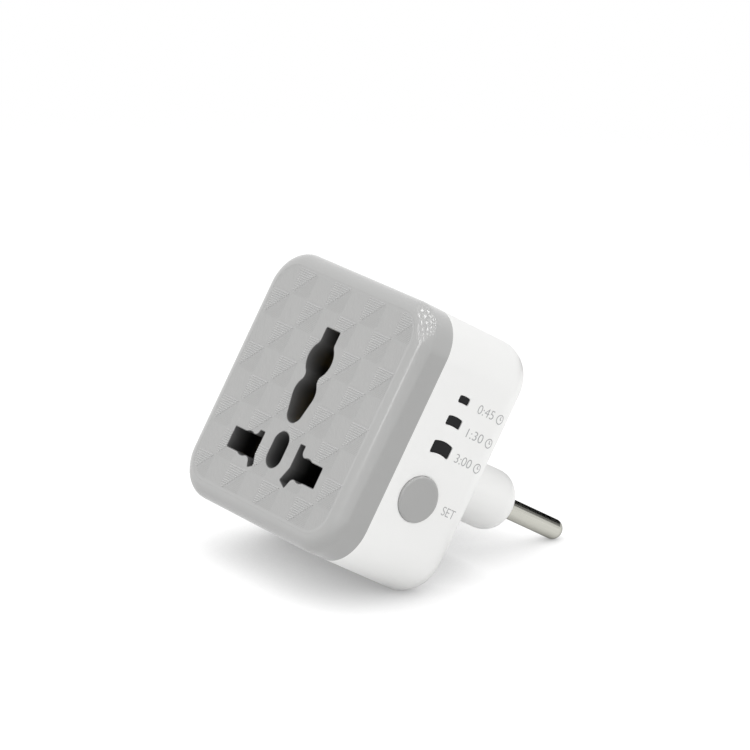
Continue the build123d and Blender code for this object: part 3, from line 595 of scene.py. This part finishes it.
disc_low, disc_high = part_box("varistor")
disc_foot = disc_low.y + disc_high.z - disc_low.z
relay_case = plastic("relay_case", (0.03, 0.10, 0.32), (0.25, 0.35), cloud=0.06)
yellow_case = plastic("yellow_case", (0.72, 0.50, 0.06), (0.25, 0.4), cloud=0.05)
blue_coating = plastic("blue_coating", (0.05, 0.14, 0.38), (0.15, 0.3), cloud=0.12, coat=0.4)
finishes["relay_case"] = wired(relay_case, board_front)
finishes["yellow_case"] = wired(yellow_case, board_front)
finishes["blue_coating"] = wired(blue_coating, disc_foot)
print("foot of the surge disc", round((board_front - disc_foot) / MM, 2), "mm off the board")

# %% [markdown]
# ## Sleeve, bands and tracks
# Some parts carry a pattern of their own. The can has a printed sleeve with a pale stripe on one
# side and a bare top. The resistor has colour bands, which a colour ramp with hard steps lays along
# its barrel. The boards have copper tracks below the green lacquer and rows of tinned pads: a brick
# texture gives the tracks and their gaps, and an even grid of cells gives the pads. The small lamps
# are white with a yellow window on the side that faces out.

# %% Can sleeve
STRIPE_SHARE, BARE_TOP = 0.82, 0.3
can_low, can_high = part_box("smoothing_capacitor")
can_sleeve = plastic("can_sleeve", (0.05, 0.05, 0.06), (0.2, 0.3), cloud=0.1)
tree, shader = opened(can_sleeve)
can_axes = split(tree, object_place(tree))
stripe_from = can_low.x + (can_high.x - can_low.x) * STRIPE_SHARE
blended(tree, shader, sums(tree, "GREATER_THAN", can_axes["X"], stripe_from), (0.55, 0.56, 0.58, 1.0))
blended(tree, shader, sums(tree, "LESS_THAN", can_axes["Y"], can_low.y + BARE_TOP * MM), TIN)
finishes["can_sleeve"] = wired(can_sleeve, board_front)
print("stripe from x =", round(stripe_from, 5))

# %% Resistor bands
BARREL_MIDDLE, BARREL_RADIUS, BARREL_LIFT, BARREL_LONG = 1.6, 1.62, 1.2, 9.0
BAND_WIDE = 0.07
BANDS = {
    0.09: (0.16, 0.07, 0.03),
    0.28: (0.02, 0.02, 0.02),
    0.45: (0.42, 0.03, 0.02),
    0.84: (0.45, 0.30, 0.08),
}
NO_BAND = (0.0, 0.0, 0.0, 0.0)
barrel_low, barrel_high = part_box("dropper_resistor")
barrel_axis = (barrel_low.x + BARREL_MIDDLE * MM, 0.0, (barrel_low.z + barrel_high.z) / 2)
barrel_foot = board_front - BARREL_LIFT * MM
resistor_lacquer = plastic("resistor_lacquer", (0.36, 0.46, 0.50), (0.5, 0.6), cloud=0.06)
tree, shader = opened(resistor_lacquer)
along = split(tree, object_place(tree))["Y"]
along = mapped(tree, along, (barrel_foot - BARREL_LONG * MM, barrel_foot))
bands = put(tree, "ShaderNodeValToRGB", {"Fac": along})
stops = bands.color_ramp.elements
bands.color_ramp.interpolation = "CONSTANT"
stops[0].color = NO_BAND
stops[1].color = NO_BAND
for start, colour in BANDS.items():
    stops.new(start).color = (*colour, 1.0)
    stops.new(start + BAND_WIDE).color = NO_BAND
blended(tree, shader, bands.outputs["Alpha"], bands.outputs["Color"])
finishes["resistor_lacquer"] = wired(resistor_lacquer, barrel_foot, barrel_axis, BARREL_RADIUS * MM)
print("bands", len(BANDS))

# %% Circuit boards
PAD_STEP, PAD_SHARE = 2.54, 0.17
TRACK_GAP = (0.025, 0.11, 0.045, 1.0)
circuit_board = plastic("circuit_board", (0.05, 0.21, 0.09), (0.3, 0.45), cloud=0.1)
tree, shader = opened(circuit_board)
axes = split(tree, object_place(tree))
board_across = sums(tree, "ADD", axes["X"], axes["Y"])
sheet = put(tree, "ShaderNodeCombineXYZ", {"X": board_across, "Y": axes["Z"]}).outputs[0]
gaps = put(
    tree,
    "ShaderNodeTexBrick",
    {"Vector": sheet, "Scale": 200.0, "Mortar Size": 0.03, "Brick Width": 1.4, "Row Height": 0.25},
).outputs["Fac"]
grid = put(
    tree,
    "ShaderNodeTexVoronoi",
    {"Vector": sheet, "Scale": 1.0 / (PAD_STEP * MM), "Randomness": 0.0},
    voronoi_dimensions="2D",
).outputs["Distance"]
pads = sums(tree, "LESS_THAN", grid, PAD_SHARE)
blended(tree, shader, gaps, TRACK_GAP)
blended(tree, shader, pads, TIN)
tree.links.new(pads, shader.inputs["Metallic"])
finishes["circuit_board"] = circuit_board
print("pads every", PAD_STEP, "mm")

# %% Lamps behind the windows
PHOSPHOR, PHOSPHOR_DEEP = (0.78, 0.60, 0.12, 1.0), 0.05
window_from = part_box("indicator_lamps")[1].x - PHOSPHOR_DEEP * MM
lamp_white = plastic("lamp_white", (0.85, 0.83, 0.74), (0.2, 0.3), cloud=0.04)
tree, shader = opened(lamp_white)
outward = split(tree, object_place(tree))["X"]
blended(tree, shader, sums(tree, "GREATER_THAN", outward, window_from), PHOSPHOR)
finishes["lamp_white"] = lamp_white
print("lamp windows from x =", round(window_from, 5))

# %% Putting the finishes on
for row in frame["record"]["subparts"]:
    nodes[row["node"]].material_slots[0].material = finishes[row["material_slot"]]
print("finishes", len(finishes), "on", len(nodes), "pieces")

# %% [markdown]
# ## New pieces
# A new piece starts as an empty bmesh, is shaped by operators, and becomes an object at the
# origin whose place is in its mesh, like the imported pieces. One helper does that last step, names
# the body that the piece rides on and the finish that it takes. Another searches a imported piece
# with rays, so that a new piece can be laid on its surface.

# %% Piece helpers
def piece(name, mesh, body, finish, smooth=False):
    """Turns a bmesh into an object that rides on a body."""
    made = meshed(name, mesh, finish)
    for polygon in made.data.polygons:
        polygon.use_smooth = smooth
    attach(made, body)
    print(name, len(made.data.polygons), "faces")


def seek_tree(node):
    """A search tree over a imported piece, to find its surface with rays."""
    data = nodes[node].data
    return BVHTree.FromPolygons([v.co for v in data.vertices], [p.vertices for p in data.polygons])


def new_verts(grown):
    """The vertices that an extrusion made."""
    return [part for part in grown["geom"] if isinstance(part, bmesh.types.BMVert)]


# %% [markdown]
# ## Hatched relief on the cover
# The face of the cover carries a moulded pattern: a chequerboard of squares, each cut in two by
# its diagonal, with fine ridges that run level in one half and along the diagonal in the other.
# The squares between have faint ridges along the other diagonal. A bump texture could draw it, but
# it would not be part of the mesh and would not catch the light at the rim. So each ridge is
# a real low prism. A ray from the front tells where the face is, and where a cut-out interrupts a
# ridge. The ridges are only a tenth of a millimetre tall, and soft light hardly shows them. Their
# finish helps with painted light: the slopes of the level ridges are painted lighter towards the
# crest, the rest of the relief a little darker, as a painted highlight and painted shade. A bump
# that follows the height makes the slopes look a little steeper than they are.

# %% Where a ridge may run
FRONT = Vector((0.0, -1.0, 0.0))
BEFORE_FACE, FIELD_PROBE, FLATNESS = -5.0, 18.0, 0.01
SAMPLE, RIM = 0.12, 0.28
SHORTEST = 4 * SAMPLE
cover_tree = seek_tree("front_cover")
field_depth = cover_tree.ray_cast(on_body(FIELD_PROBE, BEFORE_FACE, 0.0), -FRONT)[0].y


def on_field(across, height):
    """True where the flat field of the cover lies under this point."""
    hit = cover_tree.ray_cast(on_body(across, BEFORE_FACE, height), -FRONT)[0]
    return hit is not None and abs(hit.y - field_depth) < FLATNESS * MM


def lines_across(corners, run, pitch):
    """The ends of each of the evenly spaced lines that cross a flat outline along a direction."""
    side = Vector((-run.y, run.x))
    reach = [side.dot(corner) for corner in corners]
    count = int((max(reach) - min(reach)) / pitch)
    first = (max(reach) + min(reach) - (count - 1) * pitch) / 2
    lines = []
    for step in range(count):
        level = first + step * pitch
        ends = []
        for a, b in zip(corners, corners[1:] + corners[:1]):
            before, after = side.dot(a) - level, side.dot(b) - level
            if before * after < 0:
                ends.append(a.lerp(b, before / (before - after)))
        if len(ends) == 2:
            lines.append(ends)
    return lines


def open_runs(a, b):
    """The stretches of a line that lie on the field, clear of every cut-out."""
    length = (b - a).length
    count = max(2, int(length / SAMPLE))
    side = Vector((a.y - b.y, b.x - a.x)).normalized() * RIM
    runs, start = [], None
    for step in range(count + 1):
        point = a.lerp(b, step / count)
        free = all(on_field(*(point + side * s)) for s in (-1, 0, 1))
        if free and start is None:
            start = point
        if start is not None and (not free or step == count):
            if (point - start).length > SHORTEST:
                runs.append((start, point))
            start = None
    return runs


print("field", round((field_depth - face_y) / MM, 3), "mm below the rim of the face")

# %% One ridge
# A triangle in a circle of radius 1 is this wide and this tall.
TRIANGLE_WIDE, TRIANGLE_TALL = math.sqrt(3.0), 1.5
relief = bmesh.new()


def ridge(a, b, width, tall, lean):
    """A low three-sided prism from a to b on the field, its top edge moved sideways by lean."""
    run = Vector((b.x - a.x, 0.0, b.y - a.y)) * MM
    side = FRONT.cross(run.normalized())
    middle = on_body((a.x + b.x) / 2, 0.0, (a.y + b.y) / 2)
    middle.y = field_depth
    rise = (FRONT * tall + side * lean) * MM / TRIANGLE_TALL
    place = Matrix.Identity(4)
    for column, axis in enumerate((side * width * MM / TRIANGLE_WIDE, rise, run, middle + rise / 2)):
        for line in range(3):
            place[line][column] = axis[line]
    bmesh.ops.create_cone(
        relief, cap_ends=True, segments=3, radius1=1.0, radius2=1.0, depth=1.0, matrix=place
    )


# %% All ridges
FIELD_HALF, SQUARES, PITCH = 22.1, 8, 0.43
LEVEL_RUN, RISING_RUN, FALLING_RUN = (Vector(v).normalized() for v in ((1, 0), (1, 1), (1, -1)))
# Width, height and lean of a ridge in millimetres.
LEVEL_RIDGE = (0.34, 0.105, 0.0)
RISING_RIDGE = (0.42, 0.045, -0.12)
FALLING_RIDGE = (0.40, 0.026, 0.0)
square = 2 * FIELD_HALF / SQUARES
ridges = 0
for row in range(SQUARES):
    for column in range(SQUARES):
        left, top = -FIELD_HALF + column * square, FIELD_HALF - row * square
        upper_left, upper_right = Vector((left, top)), Vector((left + square, top))
        lower_left, lower_right = Vector((left, top - square)), Vector((left + square, top - square))
        if (row + column) % 2:
            hatches = [
                ([upper_left, upper_right, lower_left], LEVEL_RUN, LEVEL_RIDGE),
                ([upper_right, lower_right, lower_left], RISING_RUN, RISING_RIDGE),
            ]
        else:
            outline = [upper_left, upper_right, lower_right, lower_left]
            hatches = [(outline, FALLING_RUN, FALLING_RIDGE)]
        for corners, run, shape in hatches:
            for a, b in lines_across(corners, run, PITCH):
                for start, end in open_runs(a, b):
                    ridge(start, end, *shape)
                    ridges += 1
print(ridges, "ridges")

# %% Finish of the relief
# Painted light: the level ridges are painted lighter towards their crest, the rest of the relief a little
# darker.
PAINTED_GROOVE_SHADE, PAINTED_CREST_HIGHLIGHT, STEEPEN = 0.97, 1.32, 0.30
LEVEL_LIMIT, SLOPE_LIMIT = 0.05, -0.5


def retoned(tree, shader, tone):
    """Makes the shader's own colour lighter or darker by a tone."""
    plain = shader.inputs["Base Color"].links[0].from_socket
    tree.links.new(toned(tree, plain, tone), shader.inputs["Base Color"])


relief_painted_light = plastic("relief_painted_light", (0.415, 0.415, 0.41), (0.30, 0.40), skin=0.1, coat=0.6)
tree, shader = opened(relief_painted_light)
rise = mapped(tree, split(tree, object_place(tree))["Y"], (field_depth, face_y))
facing = split(tree, put(tree, "ShaderNodeNewGeometry").outputs["Normal"])
level = put(
    tree,
    "ShaderNodeMath",
    {0: facing["X"], 1: 0.0, 2: LEVEL_LIMIT},
    operation="COMPARE",
).outputs[0]
painted_highlight_share = sums(tree, "MULTIPLY", rise, level)
retoned(tree, shader, mapped(tree, painted_highlight_share, (0.0, 1.0), (PAINTED_GROOVE_SHADE, PAINTED_CREST_HIGHLIGHT)))
bump = put(
    tree,
    "ShaderNodeBump",
    {
        "Height": rise,
        "Distance": (field_depth - face_y) * STEEPEN,
        "Strength": sums(tree, "LESS_THAN", facing["Y"], SLOPE_LIMIT),
        "Normal": shader.inputs["Normal"].links[0].from_socket,
    },
)
tree.links.new(bump.outputs["Normal"], shader.inputs["Normal"])
piece("face_relief", relief, "housing", relief_painted_light)

# %% [markdown]
# ## Dark walls in the socket
# Behind the grey face the socket is lined with black plastic, and the cut-outs look dark from
# their very edge. The imported cover has grey walls there. A thin dark lining is made from these
# same walls: copy them, merge the loose triangles, extend them inwards, and give them a little
# thickness towards the opening. It fits the cut-outs exactly because it is made from them. Little
# light gets in, so its finish is painted darker with depth: painted shade.

# %% Socket lining
WALL_DEPTH, SOCKET_REACH = 1.95 * MM, 18.0 * MM
LINING_DEPTH, LINING_THICK = 6.0 * MM, 0.13 * MM
UPRIGHT, CORNER = 0.1, math.radians(35)
lining = bmesh.new()
lining.from_mesh(nodes["front_cover"].data)
bmesh.ops.remove_doubles(lining, verts=lining.verts, dist=0.001 * MM)
spare = []
for face in lining.faces:
    centre = face.calc_center_median()
    inside = abs(centre.x) < SOCKET_REACH and abs(centre.z - middle_z) < SOCKET_REACH
    wall = abs(face.normal.y) < UPRIGHT and centre.y - face_y < WALL_DEPTH
    if not (inside and wall):
        spare.append(face)
bmesh.ops.delete(lining, geom=spare, context="FACES")
inner_rim = []
for edge in lining.edges:
    deep = all(vert.co.y - face_y > WALL_DEPTH for vert in edge.verts)
    if edge.is_boundary and deep:
        inner_rim.append(edge)
for vert in new_verts(bmesh.ops.extrude_edge_only(lining, edges=inner_rim)):
    vert.co.y = face_y + LINING_DEPTH
bmesh.ops.recalc_face_normals(lining, faces=lining.faces[:])
bmesh.ops.solidify(lining, geom=lining.faces[:], thickness=LINING_THICK)
for edge in lining.edges:
    if len(edge.link_faces) == 2 and edge.calc_face_angle() > CORNER:
        edge.smooth = False
print("lining from", len(inner_rim), "rim edges")

# %% Finish of the lining
# Painted shade: the lining's colour is painted darker with depth into the socket.
PAINTED_SHADE_DEPTH, PAINTED_SHADE_TONE = 4.5 * MM, 0.05
lining_painted_shade = plastic("lining_painted_shade", (0.17, 0.17, 0.17), (0.25, 0.35), cloud=0.1)
tree, shader = opened(lining_painted_shade)
depth = split(tree, object_place(tree))["Y"]
retoned(tree, shader, mapped(tree, depth, (face_y, face_y + PAINTED_SHADE_DEPTH), (1.0, PAINTED_SHADE_TONE)))
piece("socket_lining", lining, "housing", lining_painted_shade, smooth=True)

# %% [markdown]
# ## Soft border of the field
# The hatched field lies a tenth of a millimetre below the rim of the face. On the moulded cover
# the step is a soft slope. A square frame with rounded corners covers it: a grid of one face, its
# corners rounded by bevelling the vertices, inset, and its inner loop pushed down to the field.

# %% Field border
FIELD_CORNER, SLOPE = 5.1, 0.7
BORDER_SUNK, BORDER_INSIDE, BORDER_LIFT = 0.003, 0.01, 0.001


def open_ring(mesh, thickness):
    """Insets the one face of a mesh by a thickness, and gives back the face in the middle."""
    bmesh.ops.inset_region(
        mesh, faces=mesh.faces[:], thickness=thickness, use_boundary=True, use_even_offset=True
    )
    return max(mesh.faces, key=lambda face: face.calc_area())


border = bmesh.new()
flat_place = Matrix.Translation(on_body(0, BORDER_SUNK, 0)) @ Matrix.Rotation(math.pi / 2, 4, "X")
bmesh.ops.create_grid(
    border, x_segments=1, y_segments=1, size=(FIELD_HALF - BORDER_INSIDE) * MM, matrix=flat_place
)
bmesh.ops.bevel(
    border,
    geom=border.verts[:],
    offset=FIELD_CORNER * MM,
    offset_type="OFFSET",
    affect="VERTICES",
    segments=12,
    profile=0.5,
    material=-1,
)
centre = open_ring(border, SLOPE * MM)
bmesh.ops.translate(border, verts=centre.verts, vec=(0, field_depth - face_y - BORDER_LIFT * MM, 0))
bmesh.ops.delete(border, geom=[centre], context="FACES_ONLY")
bmesh.ops.recalc_face_normals(border, faces=border.faces[:])
piece("field_border", border, "housing", finishes["grey_gloss"], smooth=True)

# %% [markdown]
# ## Collar around the button
# The button needs air around it to slide, and that gap shows as a dark ring. On the real object a
# white ledge just below the surface closes it. The ledge is a flat ring: a circle, inset, with its
# middle taken out and a little thickness.

# %% Button collar
COLLAR_OUT, COLLAR_WIDE, COLLAR_SUNK, COLLAR_THICK = 4.54, 0.10, 0.06, 0.4
BUTTON_DEPTH, BUTTON_HEIGHT = 14.65, -7.9
collar = bmesh.new()
collar_place = on_body(0, BUTTON_DEPTH, BUTTON_HEIGHT)
collar_place.x = cover_high.x - COLLAR_SUNK * MM
collar_place = Matrix.Translation(collar_place) @ Matrix.Rotation(math.pi / 2, 4, "Y")
bmesh.ops.create_circle(
    collar, cap_ends=True, segments=64, radius=COLLAR_OUT * MM, matrix=collar_place
)
bmesh.ops.delete(collar, geom=[open_ring(collar, COLLAR_WIDE * MM)], context="FACES")
bmesh.ops.recalc_face_normals(collar, faces=collar.faces[:])
back = new_verts(bmesh.ops.extrude_face_region(collar, geom=collar.faces[:]))
bmesh.ops.translate(collar, verts=back, vec=(-COLLAR_THICK * MM, 0, 0))
bmesh.ops.recalc_face_normals(collar, faces=collar.faces[:])
piece("button_collar", collar, "housing", finishes["white_gloss"])

# %% [markdown]
# ## Print beside the windows
# Each window has its time and a small clock printed beside it, and the button has its word. Print
# is a thin film of ink. The letters come from a text object that is turned into a mesh first, then
# cut into narrow strips, stretched to the place that it has on the side, and dropped onto the wall
# with rays. The strips matter because the last marks already lie on the rounded rear edge, and a
# long flat face would dive below it.

# %% Print helpers
RIGHT = Vector((1.0, 0.0, 0.0))
INK, INK_SUNK, CUTS = 0.02, 0.005, 12
BESIDE_WALL, THINNER = 40.0, -0.008
housing_tree = seek_tree("rear_housing")
print_grey = plastic("print_grey", (0.40, 0.40, 0.405), (0.5, 0.6), cloud=0.08)


def print_on_side(name, flat, deep_from, deep_to, low, high):
    """Fits a flat mesh in X and Y to a place on the right side and lays it on the wall as ink."""
    xs, ys = [v.co.x for v in flat.verts], [v.co.y for v in flat.verts]
    for cut in range(1, CUTS):
        bmesh.ops.bisect_plane(
            flat,
            geom=flat.verts[:] + flat.edges[:] + flat.faces[:],
            plane_co=(min(xs) + (max(xs) - min(xs)) * cut / CUTS, 0.0, 0.0),
            plane_no=(1.0, 0.0, 0.0),
        )
    for vert in flat.verts:
        depth = deep_from + (vert.co.x - min(xs)) / (max(xs) - min(xs)) * (deep_to - deep_from)
        height = low + (vert.co.y - min(ys)) / (max(ys) - min(ys)) * (high - low)
        wall = housing_tree.ray_cast(on_body(BESIDE_WALL, depth, height), -RIGHT)[0]
        vert.co = wall - RIGHT * INK_SUNK * MM
    top = new_verts(bmesh.ops.extrude_face_region(flat, geom=flat.faces[:]))
    bmesh.ops.translate(flat, verts=top, vec=RIGHT * INK * MM)
    bmesh.ops.recalc_face_normals(flat, faces=flat.faces[:])
    piece(name, flat, "housing", print_grey)


def word_mesh(word):
    """The flat mesh of a word in the built-in typeface, drawn with thinner strokes."""
    curve = bpy.data.curves.new("word", "FONT")
    curve.body = word
    curve.offset = THINNER
    held = bpy.data.objects.new("word", curve)
    scene.collection.objects.link(held)
    drawn = held.evaluated_get(bpy.context.evaluated_depsgraph_get())
    data = bpy.data.meshes.new_from_object(drawn)
    flat = bmesh.new()
    flat.from_mesh(data)
    bpy.data.objects.remove(held)
    bpy.data.meshes.remove(data)
    bmesh.ops.remove_doubles(flat, verts=flat.verts, dist=1e-5)
    return flat


# %% Times and the button's word
LEGENDS = (
    ("legend_short", "0:45", 18.5, 22.6, 11.65),
    ("legend_middle", "1:30", 18.5, 22.6, 6.85),
    ("legend_long", "3:00", 18.5, 22.6, 1.8),
    ("legend_set", "SET", 21.0, 24.2, -7.9),
)
HALF_TALL = 0.85
for name, word, deep_from, deep_to, height in LEGENDS:
    print_on_side(name, word_mesh(word), deep_from, deep_to, height - HALF_TALL, height + HALF_TALL)

# %% Clock marks
CLOCKS = {"clock_short": 11.5, "clock_middle": 6.7, "clock_long": 1.65}
CLOCK_FROM, CLOCK_TO = 23.4, 25.3
CLOCK_RING, HAND_HALF = 0.20, 0.10
CLOCK_HANDS = ((0.0, 0.62), (-90.0, 0.45))
half = (CLOCK_TO - CLOCK_FROM) / 2
for name, height in CLOCKS.items():
    mark = bmesh.new()
    bmesh.ops.create_circle(mark, cap_ends=True, segments=40, radius=1.0)
    bmesh.ops.delete(mark, geom=[open_ring(mark, CLOCK_RING)], context="FACES")
    for turn, long in CLOCK_HANDS:
        hand = Matrix.Rotation(math.radians(turn), 4, "Z") @ Matrix.Translation((0.0, long / 2, 0.0))
        hand = hand @ Matrix.Diagonal((HAND_HALF, long / 2, 1.0, 1.0))
        bmesh.ops.create_grid(mark, x_segments=1, y_segments=1, size=1.0, matrix=hand)
    print_on_side(name, mark, CLOCK_FROM, CLOCK_TO, height - half, height + half)
